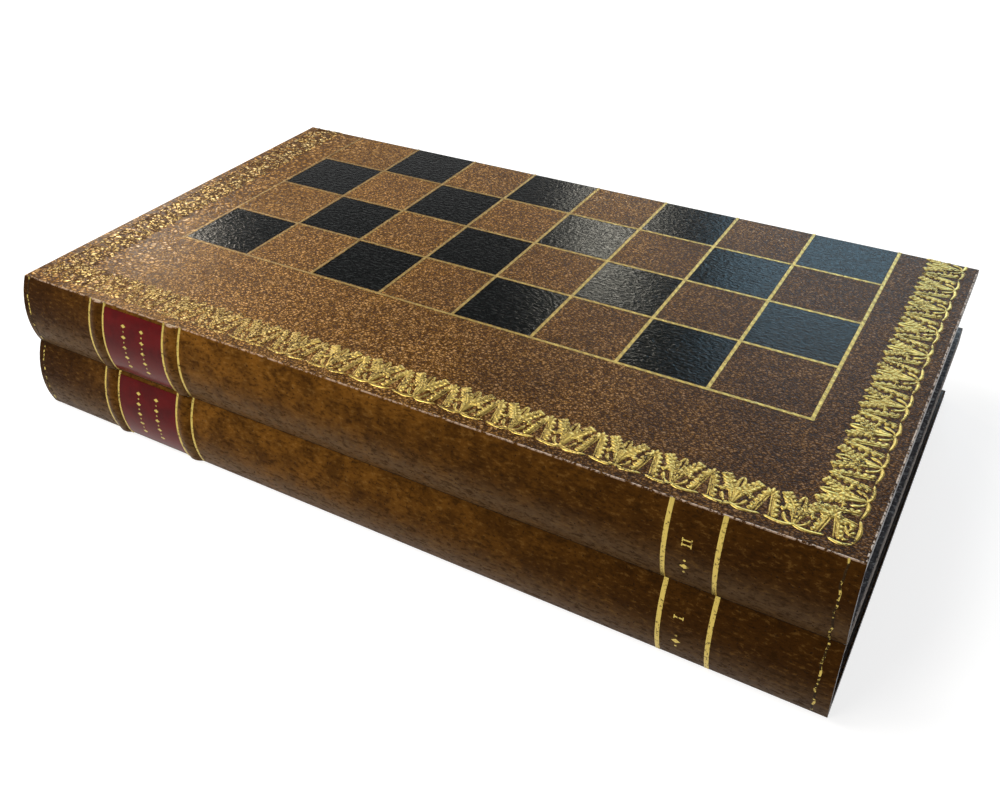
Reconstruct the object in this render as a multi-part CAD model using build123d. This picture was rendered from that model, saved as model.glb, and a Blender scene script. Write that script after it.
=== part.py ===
from build123d import *
import math
import os

# A games box in the form of two stacked leather volumes. The volumes are
# hinged along their fore-edges, and their outer covers unfold into one
# chequered board. Inside, each volume is a tray for play with counters.
# Millimetres, +Z up. The origin is under the middle of the closed box,
# X runs along the spines and Y runs from the spines to the hinges.

# Chequer on each cover, between the middles of the gilt lines
outer_column = 39.4
inner_column = 37.5
inner_columns = 6
spine_row = 39.6
inner_row = 38.2
inner_rows = 2
hinge_row = 36.4
gilt_line = 1.7
onlay_thickness = 0.5

# Plain leather left round the chequer
left_margin = 36.9
right_margin = 34.1
spine_margin = 66.1

# Each volume
volume_thickness = 35.0
leather = 0.8
board_thickness = 3.2
rim_thickness = 3.2
edge_recess = 3.0
edge_rounding = 0.5

# Play between the two volumes, at the rims and at the fore-edges
rim_gap = 0.3
fore_edge_gap = 0.3

# Walls of the tray
spine_wall = 14.0
fore_edge_wall = 10.0
page_block_wall = 9.0

# Leaves scored into the page blocks
leaf_pitch = 1.5
leaf_groove_width = 0.5
leaf_groove_depth = 0.4

# Rounded spine, its raised bands and its label
spine_bulge = 4.0
band_width = 6.6
band_rise = 1.3
first_band = 47.3
second_band = 91.0
label_gap = 0.4
label_margin = 1.6
label_thickness = 0.3
label_paste = 0.02
lower_volume_shift = 1.4

# Spare angle of a turned spine piece before it is trimmed, in degrees
trim_angle = 5.0

# Lining of the tray
lining_thickness = 0.5
floor_lining_thickness = 0.6

# Points for the counters
points_per_side = 6
point_length = 148.0
point_gap = 1.2
point_thickness = 0.3

# Butt hinges
hinge_inset = 77.0
hinge_length = 38.0
leaf_width = 9.4
leaf_thickness = 1.2
knuckles = 3
knuckle_radius = 2.2
knuckle_play = 0.2
barrel_clearance = 0.3
pin_radius = 1.0
pin_clearance = 0.05

# Screws of the hinges
screws_per_leaf = 2
screw_pitch = 22.0
screw_from_axis = 6.0
screw_length = 8.0
screw_shank_radius = 0.9
screw_head_radius = 1.9
wood_under_screws = 3.0

# Overall sizes that follow
length = left_margin + 2 * outer_column + inner_columns * inner_column + right_margin
depth = spine_margin + spine_row + inner_rows * inner_row + hinge_row
half_length = length / 2
front_reach = spine_bulge + band_rise
back_reach = knuckle_radius
front_y = front_reach - (depth + front_reach + back_reach) / 2
hinge_y = front_y + depth
mid_z = volume_thickness

# Levels and faces of the lower volume
board_top = leather + board_thickness
meeting_z = mid_z - rim_gap / 2
rim_top = meeting_z - leather
rim_bottom = rim_top - rim_thickness
fore_edge_y = hinge_y - fore_edge_gap / 2
wood_back_y = fore_edge_y - leather
block_outer_x = half_length - edge_recess
tray_x = block_outer_x - page_block_wall
tray_front_y = front_y + spine_wall
tray_back_y = wood_back_y - fore_edge_wall
lined_x = tray_x - lining_thickness
lined_front_y = tray_front_y + lining_thickness
lined_back_y = tray_back_y - lining_thickness
floor_top = board_top + floor_lining_thickness
rail_bottom = meeting_z - screw_length - wood_under_screws

# Circle that the spine follows, round a line along X
spine_radius = ((volume_thickness / 2) ** 2 + spine_bulge ** 2) / (2 * spine_bulge)
spine_centre_y = front_y - spine_bulge + spine_radius
spine_centre_z = volume_thickness / 2
core_radius = spine_radius - leather
core_reach_in = core_radius - 2 * spine_bulge
cutter_reach_in = core_radius - 3 * spine_bulge
spine_axis = Axis((0, spine_centre_y, spine_centre_z), (1, 0, 0))

# Barrel of the hinges
knuckle_length = (hinge_length - (knuckles - 1) * knuckle_play) / knuckles
cove_radius = knuckle_radius + barrel_clearance
cove_length = hinge_length + 2 * barrel_clearance


def block(x_low, x_high, y_low, y_high, z_low, z_high):
    """A box between two corners."""
    size = (x_high - x_low, y_high - y_low, z_high - z_low)
    middle = ((x_low + x_high) / 2, (y_low + y_high) / 2, (z_low + z_high) / 2)
    return Pos(*middle) * Box(*size)


def rod(radius, x_low, x_high):
    """A cylinder along the hinge axis."""
    middle = Pos((x_low + x_high) / 2, hinge_y, mid_z)
    return middle * Rot(0, 90, 0) * Cylinder(radius, x_high - x_low)


def group(shapes):
    """Separate solids that share one node."""
    solids = []
    for shape in shapes:
        solids.extend(shape.solids())
    return Compound(children=solids)


def turned_over(shape):
    """The same piece in the upper volume."""
    middle = Plane((0, 0, mid_z), z_dir=(0, 0, 1))
    return group([solid.mirror(middle) for solid in shape.solids()])


def running_sums(start, steps):
    """Places along a line, from its start, one step after another."""
    places = [start]
    for step in steps:
        places.append(places[-1] + step)
    return places


# Cover

def column_lines():
    """X of the gilt lines between the columns."""
    steps = [outer_column] + [inner_column] * inner_columns + [outer_column]
    return running_sums(-half_length + left_margin, steps)


def row_lines():
    """Y of the gilt lines between the rows."""
    steps = [spine_row] + [inner_row] * inner_rows + [hinge_row]
    return running_sums(front_y + spine_margin, steps)


def onlay_spaces(parity):
    """Room for each dark square, inside the gilt lines."""
    columns = column_lines()
    rows = row_lines()
    inset = gilt_line / 2
    spaces = []
    for i in range(len(columns) - 1):
        for j in range(len(rows) - 1):
            last_row = j == len(rows) - 2
            y_high = hinge_y if last_row else rows[j + 1] - inset
            if (i + j) % 2 == parity:
                spaces.append(block(columns[i] + inset, columns[i + 1] - inset,
                                    rows[j] + inset, y_high, 0, onlay_thickness))
    return spaces


def cover_sheet():
    """The leather of a cover before its squares are let in."""
    sheet = block(-half_length, half_length, front_y, fore_edge_y, 0, leather)
    for side in (-1, 1):
        outer = side * half_length
        inner = side * (half_length - leather)
        sheet += block(min(outer, inner), max(outer, inner), front_y, fore_edge_y,
                       0, board_top)
    bottom = sheet.edges().group_by(Axis.Z)[0]
    return fillet(bottom.sort_by(Axis.Y)[1:], edge_rounding)


def cover_leather(parity):
    sheet = cover_sheet()
    for space in onlay_spaces(parity):
        sheet -= space
    return sheet


def dark_squares(parity):
    sheet = cover_sheet()
    return group(sheet & space for space in onlay_spaces(parity))


def cover_board():
    return block(-half_length + leather, half_length - leather, front_y, wood_back_y,
                 leather, board_top)


# Spine

def spine_room():
    """Space in front of the boards, between the two faces of a volume."""
    reach = front_y - front_reach - band_rise
    return block(-half_length, half_length, reach, front_y, 0, meeting_z)


def swept_round_spine(face):
    """A flat section beside the spine's centre line, turned round that line."""
    return turned_about_spine_line(face, volume_thickness / 2, trim_angle)


def turned_about_spine_line(face, half_height, spare_angle):
    """A section turned both ways from mid height, to half_height and a spare angle."""
    half_turn = math.degrees(math.asin(half_height / spine_radius)) + spare_angle
    return revolve(face.rotate(spine_axis, -half_turn), spine_axis, 2 * half_turn)


def section(points_and_bumps, radius_in):
    """A section in the plane of the centre line, closed at radius_in.

    Each entry is a place along X, a radius there, and the radius of the
    crown of an arc that leads to it, or None for a straight line.
    """
    def at(x, radius):
        return (x, spine_centre_y - radius)

    edges = []
    previous = points_and_bumps[0]
    for entry in points_and_bumps[1:]:
        start = at(previous[0], previous[1])
        end = at(entry[0], entry[1])
        if entry[2] is None:
            edges.append(Line(start, end))
        else:
            crown = at((previous[0] + entry[0]) / 2, entry[2])
            edges.append(ThreePointArc(start, crown, end))
        previous = entry
    first = points_and_bumps[0]
    edges.append(Polyline(at(previous[0], previous[1]), at(previous[0], radius_in),
                          at(first[0], radius_in), at(first[0], first[1])))
    face = make_face(Curve() + edges)
    return Pos(0, 0, spine_centre_z) * face


def band_places(shift):
    return [-half_length + first_band + shift, -half_length + second_band + shift]


def band_outline(place):
    """The section of one band on the core, with sloping sides."""
    low = place - band_width / 2
    high = place + band_width / 2
    crown = core_radius + band_rise
    return [(low, core_radius, None), (low + band_rise, crown, None),
            (high - band_rise, crown, None), (high, core_radius, None)]


def core_and_bands(shift):
    """The core with its bands laid on, as one body to cut leather with."""
    first, second = band_places(shift)
    outline = [(-half_length, core_radius, None)] + band_outline(first)
    outline += band_outline(second) + [(half_length, core_radius, None)]
    return swept_round_spine(section(outline, cutter_reach_in))


def spine_leather(shift):
    """The leather, drawn over the bands in a round swelling."""
    swelling = band_width / 2 + leather
    outline = [(-half_length, spine_radius, None)]
    for place in band_places(shift):
        outline.append((place - swelling, spine_radius, None))
        outline.append((place + swelling, spine_radius, spine_radius + band_rise))
    outline.append((half_length, spine_radius, None))
    whole = swept_round_spine(section(outline, core_reach_in))
    return (whole & spine_room()) - core_and_bands(shift)


def spine_core():
    straight = [(-half_length, core_radius, None), (half_length, core_radius, None)]
    cap = swept_round_spine(section(straight, core_reach_in)) & spine_room()
    tongue = block(-tray_x, tray_x, front_y, tray_front_y, board_top, rim_bottom)
    return cap + tongue


def spine_bands(shift):
    bands = []
    for place in band_places(shift):
        corners = [(x, spine_centre_y - radius) for x, radius, _ in band_outline(place)]
        face = Pos(0, 0, spine_centre_z) * make_face(Polyline(*corners, close=True))
        bands.append(swept_round_spine(face) & spine_room())
    return group(bands)


def title_label(shift):
    """The label between the feet of the two bands."""
    first, second = band_places(shift)
    foot = band_width / 2 + leather + label_gap
    seat = spine_radius + label_paste
    outline = [(first + foot, seat + label_thickness, None),
               (second - foot, seat + label_thickness, None)]
    face = section(outline, seat)
    return turned_about_spine_line(face, volume_thickness / 2 - label_margin, 0)


# Page blocks and fore-edge

def page_block(side):
    """An end wall of the tray, scored like the leaves of a book."""
    outer = side * block_outer_x
    inner = side * tray_x
    wall = block(min(outer, inner), max(outer, inner), front_y, wood_back_y,
                 board_top, rim_bottom)
    height = rim_bottom - board_top
    count = int((height - leaf_pitch) / leaf_pitch)
    first = board_top + (height - (count - 1) * leaf_pitch) / 2
    for k in range(count):
        z = first + k * leaf_pitch
        groove = Plane.XZ * Polyline(
            (outer, z - leaf_groove_width / 2),
            (outer - side * leaf_groove_depth, z),
            (outer, z + leaf_groove_width / 2), close=True)
        prism = extrude(make_face(groove), amount=depth, both=True)
        wall -= prism
    return wall


def fore_edge_block():
    """The wall on the hinge side, up to the rail that holds the screws."""
    return block(-tray_x, tray_x, tray_back_y, wood_back_y, board_top, rail_bottom)


def fore_edge_leather():
    """The strip of leather on the hinge side, let back at the short ends."""
    y_low = wood_back_y
    wide = half_length - leather
    strip = block(-block_outer_x, block_outer_x, y_low, fore_edge_y, leather, meeting_z)
    strip += block(-wide, wide, y_low, fore_edge_y, leather, board_top)
    strip += block(-half_length, half_length, y_low, fore_edge_y, rim_bottom, meeting_z)
    return strip - barrel_coves() - leaf_seats()


# Rim

def rim_corners():
    outer_x = half_length - leather
    outer = [(-outer_x, front_y), (outer_x, front_y), (outer_x, wood_back_y),
             (-outer_x, wood_back_y)]
    inner = [(-tray_x, tray_front_y), (tray_x, tray_front_y), (tray_x, tray_back_y),
             (-tray_x, tray_back_y)]
    return outer, inner


def rim_strip(k):
    """One of the four mitred strips, counted round from the spine.

    The strip on the hinge side has a rail under it that holds the screws.
    """
    outer, inner = rim_corners()
    n = (k + 1) % 4
    outline = Polyline(outer[k], outer[n], inner[n], inner[k], close=True)
    strip = Pos(0, 0, rim_bottom) * extrude(make_face(outline), amount=rim_thickness)
    if k == 2:
        strip += block(-tray_x, tray_x, tray_back_y, wood_back_y, rail_bottom, rim_bottom)
        strip -= barrel_coves()
        strip -= leaf_seats()
        for place in screw_places():
            strip -= screw_hole(place)
    return strip


def rim_leather():
    """Leather over the rim, turned down over the short ends."""
    sheet = block(-half_length, half_length, front_y, wood_back_y, rim_top, meeting_z)
    for side in (-1, 1):
        outer = side * half_length
        inner = side * (half_length - leather)
        sheet += block(min(outer, inner), max(outer, inner), front_y, wood_back_y,
                       rim_bottom, meeting_z)
    sheet -= block(-lined_x, lined_x, lined_front_y, lined_back_y, rim_top, meeting_z)
    return sheet - barrel_coves() - leaf_seats()


# Lining and points

def wall_lining():
    low = floor_top
    strips = [
        block(-tray_x, tray_x, tray_front_y, lined_front_y, low, rim_top),
        block(-tray_x, tray_x, lined_back_y, tray_back_y, low, rim_top),
        block(-tray_x, -lined_x, lined_front_y, lined_back_y, low, rim_top),
        block(lined_x, tray_x, lined_front_y, lined_back_y, low, rim_top),
    ]
    return group(strips)


def floor_lining():
    return block(-tray_x, tray_x, tray_front_y, tray_back_y, board_top, floor_top)


def points(parity):
    """Long triangles from both short ends, every other one of each colour."""
    pitch = (lined_back_y - lined_front_y) / points_per_side
    triangles = []
    for k in range(points_per_side):
        for side in (-1, 1):
            colour = (k + (side + 1) // 2) % 2
            if colour != parity:
                continue
            y_low = lined_front_y + k * pitch + point_gap / 2
            y_high = y_low + pitch - point_gap
            base_x = side * lined_x
            tip_x = side * (lined_x - point_length)
            outline = Polyline((base_x, y_low), (base_x, y_high),
                               (tip_x, (y_low + y_high) / 2), close=True)
            face = Pos(0, 0, floor_top) * make_face(outline)
            triangles.append(extrude(face, amount=point_thickness, dir=(0, 0, 1)))
    return group(triangles)


# Hinges

def hinge_places():
    return [-half_length + hinge_inset, half_length - hinge_inset]


def barrel_coves():
    """Hollow along the corner of a volume, where the barrels turn."""
    coves = [rod(cove_radius, x - cove_length / 2, x + cove_length / 2)
             for x in hinge_places()]
    return coves[0] + coves[1]


def leaf_plate(x):
    """A leaf of the lower volume, before its knuckles."""
    return block(x - hinge_length / 2, x + hinge_length / 2, hinge_y - leaf_width, hinge_y,
                 meeting_z - leaf_thickness, meeting_z)


def leaf_seats():
    seats = [leaf_plate(x) for x in hinge_places()]
    return seats[0] + seats[1]


def knuckle_span(x, k):
    low = x - hinge_length / 2 + k * (knuckle_length + knuckle_play)
    return low, low + knuckle_length


def screw_places():
    places = []
    for x in hinge_places():
        for k in range(screws_per_leaf):
            places.append(x + (k - (screws_per_leaf - 1) / 2) * screw_pitch)
    return places


def screw_hole(x):
    y = hinge_y - screw_from_axis
    return Pos(x, y, meeting_z - screw_length / 2) * Cylinder(screw_shank_radius, screw_length)


def screw_body(x):
    """A countersunk screw, its head as deep as the leaf."""
    profile = Plane.XZ * Polyline(
        (0, -screw_length), (screw_shank_radius, -screw_length),
        (screw_shank_radius, -leaf_thickness), (screw_head_radius, 0), (0, 0), close=True)
    y = hinge_y - screw_from_axis
    return Pos(x, y, meeting_z) * revolve(make_face(profile), Axis.Z)


def hinge_leaf(x, first_knuckle):
    """A leaf whose own knuckles are every other one from first_knuckle."""
    leaf = leaf_plate(x)
    leaf -= rod(cove_radius, x - cove_length / 2, x + cove_length / 2)
    for k in range(first_knuckle, knuckles, 2):
        low, high = knuckle_span(x, k)
        leaf += rod(knuckle_radius, low, high)
        leaf += block(low, high, hinge_y - cove_radius - leaf_thickness, hinge_y,
                      meeting_z - leaf_thickness, meeting_z)
        leaf -= rod(pin_radius + pin_clearance, low, high)
    for place in screw_places():
        leaf -= screw_body(place)
    return leaf


def hinge_leaves(first_knuckle):
    return group(hinge_leaf(x, first_knuckle) for x in hinge_places())


def hinge_screws():
    return group(screw_body(x) for x in screw_places())


def hinge_pins():
    """Pins driven flush with both ends of each barrel."""
    return group(rod(pin_radius, x - hinge_length / 2, x + hinge_length / 2)
                 for x in hinge_places())


def volume(name, parity, first_knuckle, shift, placed):
    """Every piece of one volume, by node."""
    pieces = {
        "cover_board": cover_board(),
        "cover_leather": cover_leather(parity),
        "dark_squares": dark_squares(parity),
        "spine_core": spine_core(),
        "spine_bands": spine_bands(shift),
        "spine_leather": spine_leather(shift),
        "title_label": title_label(shift),
        "page_block_left": page_block(-1),
        "page_block_right": page_block(1),
        "fore_edge_block": fore_edge_block(),
        "fore_edge_leather": fore_edge_leather(),
        "rim_spine": rim_strip(0),
        "rim_right": rim_strip(1),
        "rim_fore_edge": rim_strip(2),
        "rim_left": rim_strip(3),
        "rim_leather": rim_leather(),
        "wall_lining": wall_lining(),
        "floor_lining": floor_lining(),
        "points_red": points(0),
        "points_black": points(1),
        "hinge_leaves": hinge_leaves(first_knuckle),
        "hinge_screws": hinge_screws(),
    }
    return {name + "_" + key: placed(piece) for key, piece in pieces.items()}


nodes = {}
nodes.update(volume("lower", 1, 0, lower_volume_shift, lambda piece: piece))
nodes.update(volume("upper", 0, 1, 0, turned_over))
nodes["hinge_pins"] = hinge_pins()

os.makedirs("parts", exist_ok=True)
for node, shape in nodes.items():
    export_step(shape, "parts/" + node + ".step")
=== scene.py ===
"""Looks for a folding chess board in the form of two stacked leather volumes.

The construction comes in as a fixed frame. This file gives its leather, wood
and brass their finishes, lays the gilt tooling on the covers, spines and
labels, and sets a plain pale stage with soft light and one camera.
"""

import math

import bmesh
import bpy
from mathutils import Matrix, Vector


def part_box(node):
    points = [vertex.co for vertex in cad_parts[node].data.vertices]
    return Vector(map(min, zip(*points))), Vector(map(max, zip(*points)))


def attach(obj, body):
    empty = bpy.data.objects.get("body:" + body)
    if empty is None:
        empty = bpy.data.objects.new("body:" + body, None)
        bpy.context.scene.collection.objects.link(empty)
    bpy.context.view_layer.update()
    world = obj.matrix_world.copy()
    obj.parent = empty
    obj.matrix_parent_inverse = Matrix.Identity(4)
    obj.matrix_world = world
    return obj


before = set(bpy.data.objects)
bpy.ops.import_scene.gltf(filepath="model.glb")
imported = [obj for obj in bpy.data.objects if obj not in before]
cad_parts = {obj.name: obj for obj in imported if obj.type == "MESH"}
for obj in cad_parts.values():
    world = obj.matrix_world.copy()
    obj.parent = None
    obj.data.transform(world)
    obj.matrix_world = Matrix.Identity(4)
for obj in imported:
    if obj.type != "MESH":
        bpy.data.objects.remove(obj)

bl_info = {
    "name": "Book-form chess board",
    "version": (1, 0, 0),
    "blender": (4, 5, 0),
    "location": "3D View > Sidebar > Chess board",
    "description": "Dresses a folding chess board made as two leather volumes",
    "category": "Object",
}

MM = 0.001

# Places read from the frame, in metres
COVER_LOW, COVER_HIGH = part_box("upper_cover_leather")
HALF_LENGTH = COVER_HIGH.x
FRONT_Y = COVER_LOW.y
HINGE_EDGE_Y = COVER_HIGH.y
TOP_Z = COVER_HIGH.z
MID_Z = TOP_Z / 2
LABEL_LOW, LABEL_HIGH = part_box("upper_title_label")

# The two volumes. The lower one is the upper one turned over, with its
# spine tooling set a little to the right.
VOLUMES = (
    {"name": "upper", "turned": False, "shift": 0.0, "strokes": 2,
     "number_below_top": 14.3 * MM},
    {"name": "lower", "turned": True, "shift": 1.4 * MM, "strokes": 1,
     "number_below_top": 13.3 * MM},
)


def length_value(name, description, default):
    """A length that a user may change, given in millimetres."""
    return bpy.props.FloatProperty(
        name=name, description=description, default=default * MM,
        min=0.0, unit="LENGTH", precision=5)


def colour_value(name, description, default):
    return bpy.props.FloatVectorProperty(
        name=name, description=description, default=default,
        min=0.0, max=1.0, size=3, subtype="COLOR")


class ChessBoxSizes(bpy.types.PropertyGroup):
    outer_column: length_value("Outer column", "Width of the two end columns", 39.4)
    inner_column: length_value("Inner column", "Width of the six inner columns", 37.5)
    spine_row: length_value("Spine row", "Depth of the row beside the spine", 39.6)
    inner_row: length_value("Inner row", "Depth of the two middle rows", 38.2)
    left_margin: length_value("Left margin", "Plain leather left of the chequer", 36.9)
    spine_margin: length_value("Spine margin", "Plain leather by the spine", 66.1)
    line_width: length_value("Line width", "Width of the gilt lines of the chequer", 1.6)
    spine_bulge: length_value("Spine bulge", "How far each spine is rounded out", 4.0)
    border_pitch: length_value("Border pitch", "One palmette to the next", 20.4)
    foil_rise: length_value("Foil rise", "Height of the tooling's crest", 0.22)
    foil_sink: length_value("Foil sink", "How far its edges sink in", 0.03)


class ChessBoxColours(bpy.types.PropertyGroup):
    # Pale and dark leather are mixed from left to right: partly wear, partly painted light falling
    # from the left
    leather_pale: colour_value("Pale leather", "Rubbed tan leather", (0.335, 0.142, 0.010))
    leather_dark: colour_value("Dark leather", "Leather less rubbed", (0.112, 0.045, 0.006))
    spine_leather: colour_value("Spine leather", "Leather of the spines", (0.040, 0.0135, 0.0012))
    # spine_fleck_and_light is also the warm pool of light painted on the spines
    spine_fleck_and_light: colour_value("Spine fleck", "Warm flecks in the spines", (0.25, 0.10, 0.013))
    onlay: colour_value("Onlay", "Black leather of the dark squares", (0.006, 0.007, 0.007))
    gold: colour_value("Gold", "Gold leaf of the tooling", (0.56, 0.415, 0.10))
    label: colour_value("Label", "Crimson leather of the labels", (0.15, 0.004, 0.004))
    page_edge: colour_value("Page edge", "Sprinkled edge of the leaves", (0.11, 0.115, 0.13))
    box_wood: colour_value("Box wood", "Wood of the boards and walls", (0.36, 0.22, 0.12))
    tray: colour_value("Tray lining", "Lining leather of the trays", (0.34, 0.20, 0.10))
    point_red: colour_value("Red point", "Red leather of the points", (0.27, 0.03, 0.025))
    brass: colour_value("Brass", "Brass of the hinges", (0.70, 0.52, 0.23))


# Finishes

WORN_AND_LIT_EDGE = 0.6 * MM
GOLD_KEPT_LEFT = 0.40
GOLD_KEPT_RIGHT = 1.0


class Finish:
    """A material whose nodes are added one call at a time."""

    def __init__(self, name, specular=0.5, settings=()):
        self.material = bpy.data.materials.new(name)
        self.material.use_nodes = True
        self.tree = self.material.node_tree
        self.shader = self.tree.nodes["Principled BSDF"]
        self.shader.inputs["Specular IOR Level"].default_value = specular
        for socket, value in dict(settings).items():
            self.shader.inputs[socket].default_value = value
        self.place = self.add("ShaderNodeTexCoord").outputs["Object"]

    def add(self, kind, inputs=(), **settings):
        node = self.tree.nodes.new(kind)
        for key, value in settings.items():
            setattr(node, key, value)
        for key, value in dict(inputs).items():
            self.put(node.inputs[key], value)
        return node

    def put(self, socket, value):
        if isinstance(value, bpy.types.NodeSocket):
            self.tree.links.new(value, socket)
        elif isinstance(value, (int, float)):
            socket.default_value = value
        else:
            padding = [1.0] * (len(socket.default_value) - len(value))
            socket.default_value = list(value) + padding

    def math(self, operation, first, second=0.0):
        node = self.add("ShaderNodeMath", {0: first, 1: second}, operation=operation)
        return node.outputs[0]

    def times(self, first, second):
        return self.math("MULTIPLY", first, second)

    def axis(self, letter):
        return self.add("ShaderNodeSeparateXYZ", {0: self.place}).outputs[letter]

    def stretched(self, scale):
        return self.add("ShaderNodeMapping", {"Vector": self.place, "Scale": scale}).outputs[0]

    def warped(self, size, amount, scale=(1.0, 1.0, 1.0)):
        """Stretched places pushed about by noise, so that cells look grown."""
        wave = self.add("ShaderNodeTexNoise", {
            "Vector": self.place, "Scale": 1 / size, "Detail": 1.0}).outputs["Color"]
        centred = self.add("ShaderNodeVectorMath", {0: wave, 1: (0.5, 0.5, 0.5)},
                           operation="SUBTRACT").outputs[0]
        return self.add("ShaderNodeVectorMath", {
            0: centred, 1: (amount, amount, amount), 2: self.stretched(scale)},
            operation="MULTIPLY_ADD").outputs[0]

    def noise(self, size, detail=2.0, roughness=0.5, place=None):
        """Soft noise whose lumps are about size across, from 0 to 1."""
        return self.add("ShaderNodeTexNoise", {
            "Vector": place or self.place, "Scale": 1 / size, "Detail": detail,
            "Roughness": roughness}).outputs["Fac"]

    def cells(self, size, feature="F1", place=None):
        """Distance from the middles of cells about size across."""
        return self.add("ShaderNodeTexVoronoi", {
            "Vector": place or self.place, "Scale": 1 / size},
            feature=feature).outputs["Distance"]

    def remap(self, value, low, high, to_low=0.0, to_high=1.0):
        """A smooth step of value between two limits."""
        return self.add("ShaderNodeMapRange", {
            "Value": value, "From Min": low, "From Max": high,
            "To Min": to_low, "To Max": to_high},
            interpolation_type="SMOOTHSTEP").outputs["Result"]

    def mix(self, share, first, second):
        node = self.add("ShaderNodeMix", {0: share, 6: first, 7: second}, data_type="RGBA")
        return node.outputs[2]

    def between(self, share, first, second):
        """A number between two others."""
        return self.add("ShaderNodeMix", {0: share, 2: first, 3: second},
                        data_type="FLOAT").outputs[0]

    def bump(self, height, depth, strength=1.0):
        """Relief of the given height, in metres, over the surface."""
        return self.add("ShaderNodeBump", {
            "Height": height, "Distance": depth, "Strength": strength}).outputs["Normal"]

    def dress(self, colour=None, roughness=None, metallic=None, normal=None):
        sockets = {"Base Color": colour, "Roughness": roughness,
                   "Metallic": metallic, "Normal": normal}
        for name, value in sockets.items():
            if value is not None:
                self.put(self.shader.inputs[name], value)
        return self.material


def pebble_grain(finish, size):
    """Height of a pebbled skin, and how much a point is crease or crest."""
    place = finish.warped(1.3 * size, 0.7 * size, (0.72, 1.1, 1.0))
    edge = finish.cells(size, "DISTANCE_TO_EDGE", place)
    dome = finish.remap(edge, 0.02, 0.30)
    fine = finish.noise(0.95 * size, 3.0, 0.66)
    height = finish.times(dome, 0.6)
    height = finish.math("ADD", height, finish.times(fine, 0.9))
    crease = finish.remap(edge, 0.17, 0.02)
    low = finish.remap(fine, 0.54, 0.40)
    crest = finish.times(dome, finish.remap(fine, 0.46, 0.63))
    return height, finish.math("MAXIMUM", crease, low), crest


def cover_grain(finish):
    """The grain of the covers, coarser at the left end."""
    coarse = pebble_grain(finish, 2.2 * MM)
    fine = pebble_grain(finish, 1.2 * MM)
    share = finish.remap(finish.axis("X"), -0.95 * HALF_LENGTH, -0.5 * HALF_LENGTH, 1.0, 0.0)
    return [finish.between(share, a, b) for a, b in zip(fine, coarse)]


def folded_grain(finish):
    """Height of a skin in short shallow folds, and how much is crease or crest."""
    place = finish.warped(3 * MM, 0.8 * MM, (0.5, 1.0, 1.0))
    folds = finish.noise(1.25 * MM, 2.0, 0.60, place)
    crest = finish.remap(folds, 0.52, 0.66)
    return folds, finish.remap(folds, 0.50, 0.36), crest


def streaked_grain(finish):
    """Smooth glazed skin with fine streaks along it and scattered dark pores."""
    streak = finish.noise(1.5 * MM, 4.0, 0.66, finish.stretched((0.5, 1.0, 1.0)))
    pore = finish.remap(finish.cells(2.3 * MM, place=finish.warped(3 * MM, 2 * MM)), 0.20, 0.08)
    height = finish.math("SUBTRACT", streak, finish.times(pore, 0.7))
    depth = finish.math("MAXIMUM", finish.remap(streak, 0.50, 0.36, 0.0, 0.7), pore)
    return height, depth, finish.remap(streak, 0.54, 0.68)


def from_middle(finish):
    """Distance along the length from the middle of the covers."""
    return finish.math("ABSOLUTE", finish.axis("X"))


def from_mid_height(finish):
    return finish.math("ABSOLUTE", finish.math("SUBTRACT", finish.axis("Z"), MID_Z))


def height_in_volume(finish):
    """Height above the foot of whichever volume a point is in."""
    return finish.math("MODULO", finish.axis("Z"), MID_Z)


def painted_lit_ends(finish):
    """The end faces of the covers, painted paler as the light their edges catch."""
    return finish.remap(from_middle(finish), HALF_LENGTH - 0.08 * MM, HALF_LENGTH - 0.02 * MM)


def rubbed_and_lit_edges(finish):
    """Where the long and short edges of the covers are worn pale, painted as the highlight a
    rounded edge catches.
    """
    width = WORN_AND_LIT_EDGE
    near_face = finish.remap(from_mid_height(finish), MID_Z - width, MID_Z - 0.4 * width)
    end = from_middle(finish)
    near_end = finish.remap(end, HALF_LENGTH - 1.5 * width, HALF_LENGTH - 0.8 * width)
    near_ridge = finish.remap(finish.axis("Y"), FRONT_Y + 0.7 * width, FRONT_Y + 0.3 * width)
    near_edge = finish.math("MAXIMUM", near_end, near_ridge)
    broken = finish.remap(finish.noise(1.6 * MM, 4.0, 0.7), 0.44, 0.56)
    both = finish.times(near_face, near_edge)
    return finish.times(both, broken)


def rubbed_and_lit_share(finish):
    """How far the leather is rubbed, and painted as lit from the left: most at the left, least at
    the right.
    """
    along = finish.remap(finish.axis("X"), -0.8 * HALF_LENGTH, 1.05 * HALF_LENGTH, 1.0, 0.0)
    clouds = finish.remap(finish.noise(45 * MM, 3.0, 0.6), 0.3, 0.7, -0.16, 0.16)
    return finish.math("ADD", along, clouds)


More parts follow.
